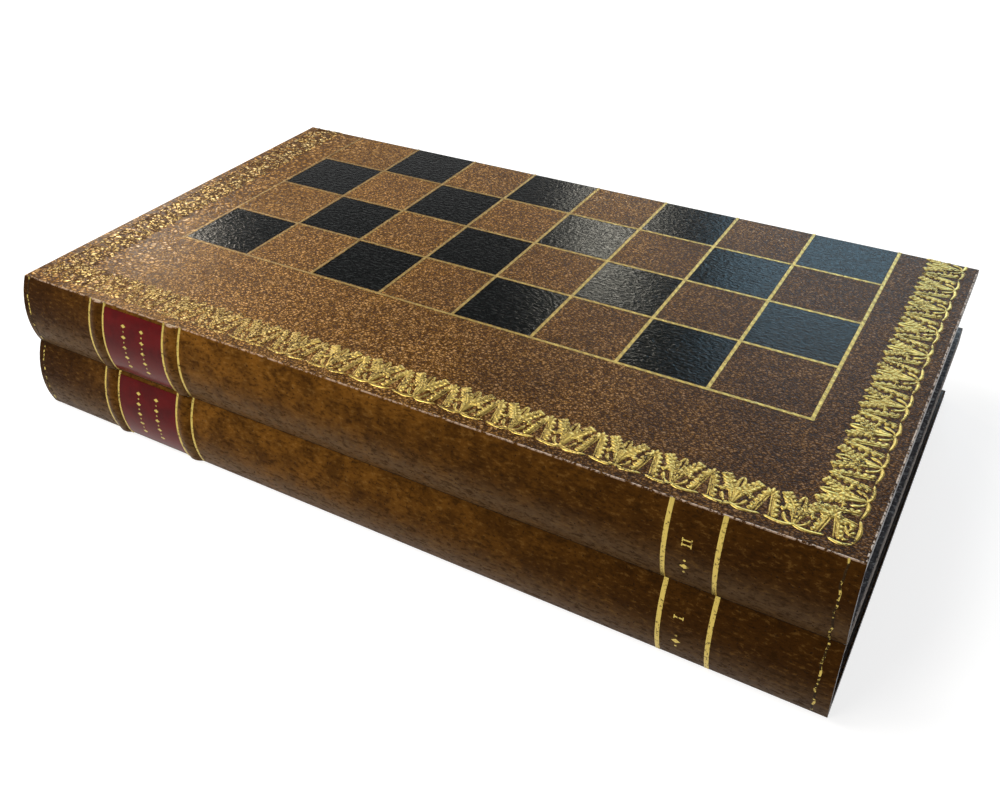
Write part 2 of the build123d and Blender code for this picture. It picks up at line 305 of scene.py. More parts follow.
def cover_leather_colour(finish, colours, depth, crest):
    share = rubbed_and_lit_share(finish)
    ground = finish.mix(share, colours.leather_dark, colours.leather_pale)
    mottle = finish.remap(finish.noise(5 * MM, 4.0, 0.65), 0.3, 0.72)
    darker = finish.mix(finish.times(mottle, 0.45), ground, colours.leather_dark)
    # Painted shade in the grain's creases and painted highlights on its crests, strongest at the
    # left
    crease = finish.mix(share, (0.018, 0.007, 0.002), (0.046, 0.015, 0.001))
    creased = finish.mix(finish.times(depth, 0.95), darker, crease)
    crest_highlight = finish.mix(share, (0.24, 0.140, 0.070), (0.92, 0.56, 0.23))
    creased = finish.mix(finish.times(crest, 0.7), creased, crest_highlight)
    # The end faces painted pale grey with specks, a painted highlight along the cover's ends
    speck = finish.remap(finish.noise(2.4 * MM, 3.0, 0.65), 0.46, 0.60)
    grey = finish.mix(speck, (0.05, 0.042, 0.036), (0.40, 0.36, 0.32))
    creased = finish.mix(painted_lit_ends(finish), creased, grey)
    # Edges worn pale, with a painted highlight line along the ridge and the ends
    worn = finish.times(rubbed_and_lit_edges(finish), finish.between(share, 0.9, 0.6))
    worn_edge_highlight = finish.mix(share, (0.80, 0.70, 0.62), (0.70, 0.44, 0.22))
    return finish.mix(worn, creased, worn_edge_highlight)


def cover_leather_finish(colours):
    finish = Finish("tan pebbled leather", 0.045)
    height, depth, crest = cover_grain(finish)
    roughness = finish.remap(depth, 0.0, 0.8, 0.12, 0.3)
    return finish.dress(cover_leather_colour(finish, colours, depth, crest), roughness,
                        normal=finish.bump(height, 0.13 * MM))


def spine_leather_finish(colours):
    """Dark glazed leather, with a warm pool of light painted to the left and a painted reflection
    of the floor in its lower half.
    """
    finish = Finish("dark spine leather", 0.025)
    height, depth, crest = streaked_grain(finish)
    x = finish.axis("X")
    # A warm pool of light painted on the spines, left of the middle
    left = finish.remap(x, -HALF_LENGTH, -0.5 * HALF_LENGTH, 0.05, 1.0)
    right = finish.remap(x, -0.45 * HALF_LENGTH, 0.9 * HALF_LENGTH, 1.0, 0.12)
    warm_light = finish.times(left, right)
    cloud = finish.remap(finish.noise(9 * MM, 4.0, 0.65), 0.32, 0.68, 0.3, 1.0)
    warm_light = finish.times(warm_light, cloud)
    ground = finish.mix(warm_light, colours.spine_leather, colours.spine_fleck_and_light)
    # A painted reflection of the pale floor in the lower half of each volume, patchy with the
    # grain
    floor_reflection_share = finish.remap(height_in_volume(finish), 0.60 * MID_Z, 0.15 * MID_Z, 0.0, 0.8)
    patchy = finish.remap(finish.noise(3.5 * MM, 4.0, 0.7), 0.32, 0.62, 0.45, 1.0)
    patchy = finish.times(patchy, finish.remap(x, 0.0, HALF_LENGTH, 1.0, 0.7))
    floor_reflection_tint = (0.21, 0.12, 0.05)
    ground = finish.mix(finish.times(floor_reflection_share, patchy), ground, floor_reflection_tint)
    # Painted shade in the hollows of the streaks, with the dark pores, and painted glints on the
    # crests
    crease = (0.022, 0.009, 0.002)
    creased = finish.mix(finish.times(depth, 0.85), ground, crease)
    glint = finish.times(crest, finish.between(warm_light, 0.25, 0.5))
    crest_highlight = (0.34, 0.17, 0.04)
    creased = finish.mix(glint, creased, crest_highlight)
    worn = finish.times(rubbed_and_lit_edges(finish), 0.8)
    worn_edge_highlight = (0.60, 0.42, 0.30)
    return finish.dress(finish.mix(worn, creased, worn_edge_highlight),
                        finish.remap(depth, 0.0, 0.8, 0.3, 0.6),
                        normal=finish.bump(height, 0.16 * MM))


def edge_mottle(finish):
    return finish.remap(finish.noise(3 * MM, 4.0, 0.7), 0.35, 0.7)


def turned_in_colour(finish):
    """Leather turned in over the boards, greyer and flecked beside the rims."""
    mottle = edge_mottle(finish)
    brown = finish.mix(mottle, (0.035, 0.026, 0.021), (0.10, 0.078, 0.062))
    grey = finish.mix(mottle, (0.14, 0.14, 0.15), (0.34, 0.35, 0.38))
    fleck = finish.remap(finish.noise(2.0 * MM, 3.0, 0.7), 0.54, 0.64, 0.0, 0.9)
    nearly_white = (0.90, 0.92, 0.94)
    grey = finish.mix(fleck, grey, nearly_white)
    beside_rims = finish.remap(finish.axis("Z"), 0.5 * MID_Z, 0.6 * MID_Z)
    return finish.mix(beside_rims, brown, grey)


def edge_leather_finish():
    """Dark leather over the rims and the fore-edge, worn along its corners, with painted
    highlights there and on its grain, and paler painted end faces.
    """
    finish = Finish("dark turned-in leather", 0.2)
    height, depth, crest = pebble_grain(finish, 1.2 * MM)
    ground = finish.mix(edge_mottle(finish), (0.032, 0.022, 0.016), (0.085, 0.062, 0.046))
    # Painted highlights on the grain's crests
    crest_highlight = (0.20, 0.15, 0.11)
    ground = finish.mix(finish.times(crest, 0.4), ground, crest_highlight)
    end = from_middle(finish)
    lip = finish.remap(end, HALF_LENGTH - 1.0 * MM, HALF_LENGTH - 0.9 * MM)
    ground = finish.mix(lip, ground, turned_in_colour(finish))
    # End faces painted paler, as if lit from the side
    painted_end_light = (0.17, 0.125, 0.095)
    ground = finish.mix(painted_lit_ends(finish), ground, painted_end_light)
    # Corners worn pale, with a painted highlight along them
    corner = finish.remap(from_mid_height(finish), 3.5 * MM, 3.8 * MM)
    near_end = finish.remap(end, HALF_LENGTH - 0.45 * MM, HALF_LENGTH - 0.2 * MM)
    broken = finish.remap(finish.noise(2.2 * MM, 4.0, 0.7), 0.42, 0.54)
    worn = finish.times(finish.times(corner, near_end), broken)
    worn_edge_highlight = (0.76, 0.70, 0.64)
    return finish.dress(finish.mix(worn, ground, worn_edge_highlight),
                        finish.remap(depth, 0.0, 1.0, 0.45, 0.75),
                        normal=finish.bump(height, 0.1 * MM))


def onlay_finish(colours):
    finish = Finish("black onlay leather", 0.045)
    height, depth, crest = folded_grain(finish)
    # Painted highlights on the folds' crests and painted shade in their creases
    crest_highlight = (0.030, 0.032, 0.032)
    ground = finish.mix(finish.times(crest, 0.5), colours.onlay, crest_highlight)
    crease = (0.002, 0.002, 0.002)
    ground = finish.mix(finish.times(depth, 0.7), ground, crease)
    return finish.dress(ground, finish.remap(depth, 0.0, 0.8, 0.09, 0.24),
                        normal=finish.bump(height, 0.19 * MM))


def gilt_finish(colours):
    """Gold leaf over the grain, rubbed through to the leather at the left, with painted shade in
    patches, a dark painted reflection at the left and painted highlights on its crests.
    """
    finish = Finish("rubbed gold leaf", 0.15)
    height, depth, crest = cover_grain(finish)
    leather = cover_leather_colour(finish, colours, depth, crest)
    loss = finish.remap(finish.axis("X"), -HALF_LENGTH, 0.1 * HALF_LENGTH,
                        GOLD_KEPT_LEFT, GOLD_KEPT_RIGHT)
    patch = finish.remap(finish.noise(7 * MM, 2.0), 0.3, 0.7, -0.12, 0.12)
    loss = finish.math("ADD", loss, patch)
    gone = finish.remap(finish.math("SUBTRACT", depth, loss), -0.05, 0.05)
    kept = finish.math("SUBTRACT", 1.0, gone)
    shade = finish.remap(finish.noise(1.2 * MM, 3.0, 0.7), 0.42, 0.70, 0.0, 0.75)
    shaded, rubbed_and_dark_reflection, painted_crest_glint = (0.30, 0.21, 0.045), (0.48, 0.30, 0.07), (0.92, 0.74, 0.38)
    tone = finish.mix(shade, colours.gold, shaded)
    left = finish.remap(finish.axis("X"), -HALF_LENGTH, 0.2 * HALF_LENGTH, 1.0, 0.25)
    tone = finish.mix(finish.times(left, 0.65), tone, rubbed_and_dark_reflection)
    tone = finish.mix(finish.times(crest, left), tone, painted_crest_glint)
    return finish.dress(finish.mix(kept, leather, tone),
                        finish.remap(kept, 0.0, 1.0, 0.55, 0.3),
                        finish.times(kept, 0.85),
                        finish.bump(finish.times(height, left), 0.16 * MM))


def line_finish(colours):
    """Thin gold lines with a faint roped pattern, duller at the left."""
    finish = Finish("roped gold line", 0.15)
    height, depth, crest = cover_grain(finish)
    rope = finish.add("ShaderNodeTexWave", {
        "Vector": finish.place, "Scale": 0.314 / (2.2 * MM), "Distortion": 1.5,
        "Detail": 2.0, "Detail Scale": 1.0}, bands_direction="DIAGONAL").outputs["Fac"]
    shade = finish.times(finish.remap(rope, 0.3, 0.75), 0.8)
    shaded, dulled = (0.34, 0.25, 0.07), (0.34, 0.22, 0.07)
    tone = finish.mix(shade, colours.gold, shaded)
    dull = finish.remap(finish.axis("X"), -HALF_LENGTH, 0.6 * HALF_LENGTH, 0.8, 0.1)
    tone = finish.mix(dull, tone, dulled)
    spots = finish.remap(finish.noise(1.4 * MM, 3.0, 0.7), 0.30, 0.40)
    creased = finish.times(depth, finish.times(dull, 0.8))
    kept = finish.times(spots, finish.math("SUBTRACT", 1.0, creased))
    leather = cover_leather_colour(finish, colours, depth, crest)
    return finish.dress(finish.mix(kept, leather, tone), 0.34,
                        finish.times(kept, 0.8),
                        finish.bump(height, 0.12 * MM))


def label_finish(colours):
    finish = Finish("crimson label leather", 0.07)
    cloud = finish.remap(finish.noise(7 * MM, 3.0), 0.3, 0.7)
    ground = finish.mix(cloud, colours.label, (0.10, 0.003, 0.003))
    # A painted reflection in the lower part of each label
    floor_reflection_share = finish.remap(height_in_volume(finish), 0.6 * MID_Z, 0.1 * MID_Z, 0.0, 0.55)
    floor_reflection_tint = (0.30, 0.060, 0.045)
    ground = finish.mix(floor_reflection_share, ground, floor_reflection_tint)
    chip = finish.remap(finish.noise(1.1 * MM, 3.0, 0.7), 0.70, 0.76)
    chipped = (0.02, 0.006, 0.006)
    return finish.dress(finish.mix(chip, ground, chipped), 0.16,
                        normal=finish.bump(finish.noise(0.6 * MM, 3.0), 0.02 * MM))


def page_edge_finish(colours):
    """Leaves pressed together, sprinkled dark grey."""
    finish = Finish("sprinkled page edge", 0.3)
    leaf = finish.noise(0.35 * MM, 2.0, place=finish.stretched((0.02, 0.02, 1.0)))
    sprinkle = finish.remap(finish.noise(1.2 * MM, 3.0, 0.7), 0.54, 0.64)
    ground = finish.mix(sprinkle, colours.page_edge, (0.40, 0.40, 0.40))
    lined = finish.mix(finish.remap(leaf, 0.45, 0.65, 0.0, 0.7), ground, (0.04, 0.04, 0.042))
    return finish.dress(lined, 0.7, normal=finish.bump(leaf, 0.1 * MM))


def wood_finish(colours):
    finish = Finish("plain hardwood", 0.3)
    fibre = finish.noise(1.5 * MM, 5.0, 0.6, finish.stretched((0.06, 1.0, 1.0)))
    tone = finish.mix(finish.remap(fibre, 0.3, 0.7), colours.box_wood, (0.24, 0.13, 0.06))
    turned_in = finish.remap(from_middle(finish), HALF_LENGTH - 3.2 * MM,
                             HALF_LENGTH - 3.1 * MM)
    tone = finish.mix(turned_in, tone, turned_in_colour(finish))
    return finish.dress(tone, 0.55, normal=finish.bump(fibre, 0.05 * MM))


def cord_finish():
    """Twisted cord, with its strands running round each band."""
    finish = Finish("band cord", 0.2)
    strand = finish.noise(0.8 * MM, 2.0, place=finish.stretched((1.0, 0.3, 0.3)))
    return finish.dress(finish.mix(strand, (0.35, 0.28, 0.17), (0.6, 0.5, 0.35)), 0.85,
                        normal=finish.bump(strand, 0.2 * MM))


def lining_finish(name, colour):
    """Smooth leather with a fine grain, for the trays and their points."""
    finish = Finish(name, 0.35)
    height, depth = pebble_grain(finish, 0.7 * MM)[:2]
    shade = tuple(0.6 * channel for channel in colour)
    mottle = finish.remap(finish.noise(8 * MM, 4.0, 0.6), 0.3, 0.75, 0.0, 0.6)
    ground = finish.mix(mottle, tuple(colour), shade)
    return finish.dress(finish.mix(finish.times(depth, 0.4), ground, shade),
                        finish.remap(depth, 0.0, 1.0, 0.48, 0.7),
                        normal=finish.bump(height, 0.05 * MM))


def brass_finish(colours):
    finish = Finish("aged brass", settings={"Metallic": 1.0})
    tarnish = finish.remap(finish.noise(3 * MM, 4.0, 0.7), 0.4, 0.7)
    brushed = finish.noise(0.5 * MM, 2.0, place=finish.stretched((0.05, 1.0, 1.0)))
    return finish.dress(finish.mix(tarnish, colours.brass, (0.36, 0.25, 0.10)),
                        finish.remap(tarnish, 0.0, 1.0, 0.26, 0.5),
                        normal=finish.bump(brushed, 0.01 * MM))


# Pieces

UPWARDS = Vector((0, 0, 1))
FORWARDS = Vector((0, -1, 0))


def mesh_of(shape, name):
    mesh = bpy.data.meshes.new(name)
    shape.to_mesh(mesh)
    shape.free()
    return mesh


def new_object(name, data):
    made = bpy.data.objects.new(name, data)
    bpy.context.scene.collection.objects.link(made)
    return made


def turned_over(shape):
    """The same shape on the lower volume."""
    mirror = Matrix.Translation((0, 0, TOP_Z)) @ Matrix.Scale(-1, 4, (0, 0, 1))
    bmesh.ops.transform(shape, matrix=mirror, verts=shape.verts)
    bmesh.ops.reverse_faces(shape, faces=shape.faces)


def lay_piece(name, shape, material, volume, turned=False):
    """Makes one finished piece of gilding, turned over for the lower cover."""
    if turned:
        turned_over(shape)
    mesh = mesh_of(shape, name)
    mesh.materials.append(material)
    mesh.polygons.foreach_set("use_smooth", [True] * len(mesh.polygons))
    piece = new_object(volume["name"] + "_" + name, mesh)
    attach(piece, volume["name"] + "_volume")


def cubic(points, share):
    """A point on a cubic curve, and its direction there."""
    a, b, c, d = [Vector(point) for point in points]
    rest = 1 - share
    place = rest ** 3 * a + 3 * rest ** 2 * share * b + 3 * rest * share ** 2 * c + share ** 3 * d
    slope = rest ** 2 * (b - a) + 2 * rest * share * (c - b) + share ** 2 * (d - c)
    return place, slope.normalized()


# From the rib to an edge: place across, and height of the crest, None where it sinks
FROND_PROFILE = ((0, 0.5), (0.62, 1.0), (1.0, None))


def frond(shape, points, half_width, steps):
    """A strip of foil along a cubic curve, with two bright raised edges.

    Points are in millimetres. half_width gives the width on each side of
    the rib for a share of the length.
    """
    sizes = bpy.context.scene.chess_box_sizes
    made = bmesh.ops.create_grid(shape, x_segments=steps, y_segments=4, size=0.5)
    for vertex in made["verts"]:
        share = vertex.co.x + 0.5
        row = round(4 * vertex.co.y)
        place, ahead = cubic(points, share)
        width = half_width(share)
        beside = Vector((-ahead.y, ahead.x))
        across, height = FROND_PROFILE[abs(row)]
        across *= 1 if row > 0 else -1
        spot = (place + width * across * beside) * MM
        crest = min(1.0, 2.2 * width)
        rise = -sizes.foil_sink if height is None else sizes.foil_rise * crest * height
        vertex.co = Vector((spot.x, spot.y, rise))


def stalk(width, swelling=0.0, place=0.5, blunt=0.35):
    """An even stalk with one swelling, drawn in at both ends."""
    def half_width(share):
        ends = math.sin(math.pi * share) ** blunt if 0 < share < 1 else 0.0
        return ends * (width + swelling * math.exp(-((share - place) / 0.16) ** 2))
    return half_width


def mirrored(points, side):
    return [(side * x, y) for x, y in points]


def petal(shape, foot, tip, width, taper=-0.15):
    """A dished lobe of foil with a raised rim, from its foot to its tip, in mm.

    A taper below 0 makes it broadest near its tip, and one above 0 points it.
    """
    sizes = bpy.context.scene.chess_box_sizes
    ahead = tip - foot
    beside = Vector((-ahead.y, ahead.x)).normalized()
    made = bmesh.ops.create_circle(shape, cap_ends=True, segments=8, radius=1.0)
    face = made["verts"][0].link_faces[0]
    bmesh.ops.inset_individual(shape, faces=[face], thickness=0.28)
    crown = list(face.verts)
    middle = bmesh.ops.poke(shape, faces=[face])["verts"]
    heights = ((made["verts"], -sizes.foil_sink), (crown, sizes.foil_rise),
               (middle, 0.3 * sizes.foil_rise))
    for ring, height in heights:
        for vertex in ring:
            along, across = vertex.co.xy
            half_width = 0.5 * width * (1 - taper * along)
            spot = (foot + (0.5 + 0.5 * along) * ahead + across * half_width * beside) * MM
            vertex.co = Vector((spot.x, spot.y, height))


def leaf(shape, rib, lobes, reach, sides=(-1, 1), lean=52.0, blade=0.3):
    """A leaf with lobes on the given sides of its rib, joined by its blade."""
    first_lobe = 0.06
    last_lobe = 0.80
    length = (Vector(rib[3]) - Vector(rib[0])).length
    gap = length * (last_lobe - first_lobe) / (lobes - 1)
    for k in range(lobes):
        share = first_lobe + (last_lobe - first_lobe) * k / (lobes - 1)
        place, ahead = cubic(rib, share)
        lobe = reach * (0.62 + 0.38 * math.sin(math.pi * (0.25 + 0.6 * share)))
        for side in sides:
            turn = math.radians(lean) * side * (1 - 0.3 * share)
            direction = Matrix.Rotation(turn, 2) @ ahead
            petal(shape, place, place + lobe * direction, 0.95 * gap)
    petal(shape, cubic(rib, 0.7)[0], Vector(rib[3]), gap, 0.1)
    frond(shape, rib, stalk(blade * reach), 8)


def palmette(shape):
    """A spray of lobed leaves over two hooked stalks, on the vine."""
    frond(shape, [(0, 6.0), (0, 9), (0, 12), (0, 16.2)], stalk(0.8, 0.4, 0.7), 8)
    for side in (-1, 1):
        frond(shape, mirrored([(0.2, 15.0), (1.3, 16.8), (1.2, 19.6), (0.1, 21.9)], side),
              stalk(0.62, 0.1), 8)
        leaf(shape, mirrored([(0.9, 12.6), (2.2, 15.4), (4.0, 18.0), (6.2, 21.8)], side),
             5, 3.1, lean=50.0, blade=0.22)
        leaf(shape, mirrored([(0.7, 12.2), (2.3, 14.3), (4.5, 14.3), (5.3, 11.9)], side),
             4, 1.5)
        frond(shape, mirrored([(0.5, 6.6), (1.0, 9.6), (1.4, 12.0), (2.9, 13.2)], side),
              stalk(0.45, 0.25, 0.6), 8)
        frond(shape, mirrored([(0.3, 6.5), (2.8, 6.5), (3.9, 8.4), (4.2, 11.1)], side),
              stalk(0.45, 0.55, 0.78), 10)


def leaf_pair(shape):
    """Two lobed leaves that lean together over a narrow gap."""
    for side in (-1, 1):
        rib = mirrored([(3.4, 6.3), (2.8, 10.2), (2.0, 14.2), (1.0, 19.4)], side)
        leaf(shape, rib, 5, 2.4, sides=(-side,), lean=54.0, blade=0.3)
        frond(shape, mirrored([(2.3, 6.4), (1.7, 10.0), (1.0, 13.4), (0.25, 17.2)], side),
              stalk(0.32), 8)
        petal(shape, Vector((0.3 * side, 17.4)), Vector((1.9 * side, 20.6)), 1.5)
        petal(shape, Vector((0.3 * side, 16.6)), Vector((0.9 * side, 18.8)), 1.3)
    petal(shape, Vector((0, 17.9)), Vector((0, 21.6)), 1.6, 0.1)


def vine(shape):
    """The scalloped stem under one palmette, from one gap to the next."""
    for side in (-1, 1):
        curve = [(-0.6, 7.0), (0.9, 5.3), (4.4, 4.8), (9.9, 6.4)]
        frond(shape, mirrored(curve, side), stalk(0.6, 0.2, 0.45, 0.12), 12)


def corner_scroll(shape):
    """The vine turned round the corner, with a small scroll inside it."""
    stem = stalk(0.6, 0.2, 0.5, 0.12)
    frond(shape, [(6.5, 18.9), (4.4, 14.6), (4.9, 9.8), (6.3, 5.8)], stem, 12)
    frond(shape, [(13.6, 5.9), (10.8, 4.8), (8.4, 4.2), (6.0, 6.2)], stem, 12)
    frond(shape, [(9.9, 14.4), (9.4, 11.4), (7.8, 9.0), (5.6, 9.8)], stalk(0.5, 0.3, 0.3), 10)
    frond(shape, [(9.4, 10.6), (10.2, 7.8), (8.8, 6.2), (7.4, 8.2)], stalk(0.42, 0.25, 0.6), 10)
    petal(shape, Vector((8.6, 11.6)), Vector((7.2, 14.0)), 1.3)
    petal(shape, Vector((8.0, 10.2)), Vector((6.2, 12.2)), 1.2)


def pattern_of(name, *parts):
    """A flat pattern made of the given parts of the border."""
    shape = bmesh.new()
    for part in parts:
        part(shape)
    return mesh_of(shape, name)


def set_down(shape, pattern, matrix):
    """Adds a copy of a flat pattern, moved by the matrix, to a shape."""
    before = set(shape.verts)
    shape.from_mesh(pattern)
    new = [vertex for vertex in shape.verts if vertex not in before]
    bmesh.ops.transform(shape, matrix=matrix, verts=new)


SPINE_SIDE_START = 24.1 * MM
SPINE_SIDE_COUNT = 17
SHORT_SIDE_START = 29.1 * MM
SHORT_SIDE_COUNT = 10
TOOLING_STOPS_SHORT = 0.3 * MM


def border_runs():
    """The three sides of the border: start, heading, way inwards and count."""
    right = Vector((1, 0, 0))
    back = Vector((0, 1, 0))
    side_y = FRONT_Y + SHORT_SIDE_START
    first = Vector((-HALF_LENGTH + SPINE_SIDE_START, FRONT_Y, TOP_Z))
    return {
        "spine": (first, right, back, SPINE_SIDE_COUNT),
        "left": (Vector((-HALF_LENGTH, side_y, TOP_Z)), back, right, SHORT_SIDE_COUNT),
        "right": (Vector((HALF_LENGTH, side_y, TOP_Z)), back, -right, SHORT_SIDE_COUNT),
    }


def basis(origin, along, inward):
    """A matrix from a pattern's own axes to a place on the cover."""
    matrix = Matrix((along, inward, UPWARDS)).transposed().to_4x4()
    matrix.translation = origin
    return matrix


def gilt_border(volume, material):
    sizes = bpy.context.scene.chess_box_sizes
    unit = pattern_of("border repeat", palmette, vine)
    pair = pattern_of("border leaf pair", leaf_pair)
    corner = pattern_of("border corner", corner_scroll)
    half_step_back = Matrix.Translation((-0.5 * sizes.border_pitch, 0, 0))
    for name, (start, along, inward, count) in border_runs().items():
        shape = bmesh.new()
        for k in range(count):
            place = basis(start + k * sizes.border_pitch * along, along, inward)
            set_down(shape, unit, place)
            set_down(shape, pair, place @ half_step_back)
        if name == "spine":
            last = basis(start + (count - 0.5) * sizes.border_pitch * along, along, inward)
            set_down(shape, pair, last)
            for side in (-1, 1):
                origin = Vector((side * HALF_LENGTH, FRONT_Y, TOP_Z))
                set_down(shape, corner, basis(origin, Vector((-side, 0, 0)), inward))
        cut_at_hinge_edge(shape)
        turn_faces(shape, UPWARDS)
        lay_piece("gilt_border_" + name, shape, material, volume, volume["turned"])
    for pattern in (unit, pair, corner):
        bpy.data.meshes.remove(pattern)


def cut_at_hinge_edge(shape):
    """Ends the tooling a little inside the long edge with the hinges."""
    bmesh.ops.bisect_plane(shape, geom=shape.verts[:] + shape.edges[:] + shape.faces[:],
                           plane_co=(0, HINGE_EDGE_Y - TOOLING_STOPS_SHORT, 0), plane_no=(0, 1, 0),
                           clear_outer=True)


def turn_faces(shape, direction):
    """Turns every face of a pattern towards the outside of its cover or spine."""
    shape.normal_update()
    wrong = [side for side in shape.faces if side.normal.dot(direction) < 0]
    bmesh.ops.reverse_faces(shape, faces=wrong)


# Gilt lines of the chequer

def running_sums(start, steps):
    places = [start]
    for step in steps:
        places.append(places[-1] + step)
    return places


# From one edge to the other: place across and height
LINE_PROFILE = ((-1.0, -0.25), (-0.72, 0.8), (-0.3, 0.35), (0.3, 0.35), (0.72, 0.8), (1.0, -0.25))


def gilt_strip(shape, start, end, width, rise):
    """A line of foil with two bright edges, between two points of the cover."""
    along = (end - start).normalized()
    beside = Vector((-along.y, along.x, 0))
    steps = max(1, round((end - start).length / (6 * MM)))
    made = bmesh.ops.create_grid(shape, x_segments=steps, y_segments=len(LINE_PROFILE) - 1,
                                 size=0.5)
    for vertex in made["verts"]:
        share = vertex.co.x + 0.5
        row = round((vertex.co.y + 0.5) * (len(LINE_PROFILE) - 1))
        across, height = LINE_PROFILE[row]
        spot = start + share * (end - start)
        thinning = 0.84 + 0.16 * spot.x / HALF_LENGTH
        vertex.co = (spot + across * 0.5 * thinning * width * beside
                     + Vector((0, 0, height * rise)))


def chequer_lines(volume, material):
    """The lines round and between the squares, open at the hinge side."""
    sizes = bpy.context.scene.chess_box_sizes
    columns = running_sums(-HALF_LENGTH + sizes.left_margin,
                           [sizes.outer_column] + [sizes.inner_column] * 6
                           + [sizes.outer_column])
    rows = running_sums(FRONT_Y + sizes.spine_margin,
                        [sizes.spine_row] + [sizes.inner_row] * 2)
    rise = 0.09 * MM
    above_rows = TOP_Z + 0.01 * MM
    overhang = 0.5 * sizes.line_width
    shape = bmesh.new()
    for y in rows:
        gilt_strip(shape, Vector((columns[0] - overhang, y, TOP_Z)),
                   Vector((columns[-1] + overhang, y, TOP_Z)), sizes.line_width, rise)
    for x in columns:
        gilt_strip(shape, Vector((x, rows[0] - overhang, above_rows)),
                   Vector((x, HINGE_EDGE_Y, above_rows)), sizes.line_width, rise)
    turn_faces(shape, UPWARDS)
    lay_piece("chequer_lines", shape, material, volume, volume["turned"])


# Tooling of the spines and labels

# Places in millimetres from the left end. A line at a band has its lift as well.
BAND_LINES = ((42.9, 0.0), (51.5, 0.3), (86.8, 0.3), (95.5, 0.0))
BROAD_LINES = (312.9, 331.2)
WORN_LINES = (3.0, 369.5)
NUMBER_FROM_LEFT = 320.6 * MM
SIGN_BELOW_TOP = 25.0 * MM
LOZENGE_PITCH = 5.2 * MM
HALF_VOLUME = MID_Z / 2


def spine_radius():
    bulge = bpy.context.scene.chess_box_sizes.spine_bulge
    return (HALF_VOLUME ** 2 + bulge ** 2) / (2 * bulge)


def spine_spot(volume, x, arc, lift):
    """A point of a spine, by its place along it and its arc from mid height."""
    bulge = bpy.context.scene.chess_box_sizes.spine_bulge
    radius = spine_radius()
    angle = arc / radius
    reach = radius + lift
    middle = HALF_VOLUME if volume["turned"] else MID_Z + HALF_VOLUME
    return Vector((x, FRONT_Y - bulge + radius - reach * math.cos(angle),
                   middle + reach * math.sin(angle)))


def spine_arc():
    """Half the arc of a spine, from mid height to its crisp edge."""
    radius = spine_radius()
    return radius * math.asin(HALF_VOLUME / radius)


def spine_fillet(shape, volume, x, width, rise, base=0.0, wave=0.0):
    """A gilt line round a spine, straight or wavering."""
    steps = 40
    half_arc = spine_arc() - 0.1 * MM
    rows = len(LINE_PROFILE) - 1
    made = bmesh.ops.create_grid(shape, x_segments=rows, y_segments=steps, size=0.5)
    for vertex in made["verts"]:
        row = round((vertex.co.x + 0.5) * rows)
        across, height = LINE_PROFILE[row]
        arc = 2 * vertex.co.y * half_arc
        swing = wave * (math.sin(arc / (1.9 * MM)) + 0.6 * math.sin(arc / (0.83 * MM) + 1))
        lift = height * rise + (base if 0 < row < rows else 0.0)
        vertex.co = spine_spot(volume, x + swing + across * 0.5 * width, arc, lift)


def spine_lines(volume, gilt, worn):
    """Lines at the feet of the bands, two broad lines and two thin worn ones."""
    shape = bmesh.new()
    left = -HALF_LENGTH + volume["shift"]
    for place, base in BAND_LINES:
        spine_fillet(shape, volume, left + place * MM, 1.3 * MM, 0.12 * MM, base * MM)
    for place in BROAD_LINES:
        spine_fillet(shape, volume, left + place * MM, 1.8 * MM, 0.25 * MM)
    turn_faces(shape, FORWARDS)
    lay_piece("spine_lines", shape, gilt, volume)
    shape = bmesh.new()
    for place in WORN_LINES:
        spine_fillet(shape, volume, -HALF_LENGTH + place * MM, 0.8 * MM, 0.08 * MM,
                     wave=0.25 * MM)
    turn_faces(shape, FORWARDS)
    lay_piece("thin_fillets", shape, worn, volume)


def small_tool(shape, volume, x, arc, half_x, half_arc, lift, corners):
    """A small lozenge or dot pressed into a spine or label."""
    made = bmesh.ops.create_circle(shape, cap_ends=True, cap_tris=True, segments=corners,
                                   radius=1.0)
    for vertex in made["verts"]:
        height = lift if vertex.co.length < 0.5 else lift - 0.05 * MM
        vertex.co = spine_spot(volume, x + vertex.co.x * half_x,
                               arc + vertex.co.y * half_arc, height)


def label_tooling(volume, material):
    """Two columns of lozenges and dots on each label."""
    shape = bmesh.new()
    width = LABEL_HIGH.x - LABEL_LOW.x
    lift = 0.40 * MM
    for share in (0.35, 0.66):
        x = LABEL_LOW.x + share * width + volume["shift"]
        for k in range(-2, 3):
            small_tool(shape, volume, x, k * LOZENGE_PITCH, 1.4 * MM, 0.9 * MM, lift, 4)
        for k in (-1.5, -0.5, 0.5, 1.5):
            small_tool(shape, volume, x, k * LOZENGE_PITCH, 0.4 * MM, 0.4 * MM, lift, 8)
    turn_faces(shape, FORWARDS)
    lay_piece("label_tooling", shape, material, volume)


def bar(shape, volume, x, arc, half_x, half_arc, lift):
    """A short straight stroke on a spine."""
    made = bmesh.ops.create_grid(shape, x_segments=2, y_segments=2, size=0.5)
    for vertex in made["verts"]:
        edge = abs(vertex.co.x) > 0.1 or abs(vertex.co.y) > 0.1
        height = lift - (0.06 * MM if edge else 0.0)
        vertex.co = spine_spot(volume, x + 2 * vertex.co.x * half_x,
                               arc + 2 * vertex.co.y * half_arc, height)


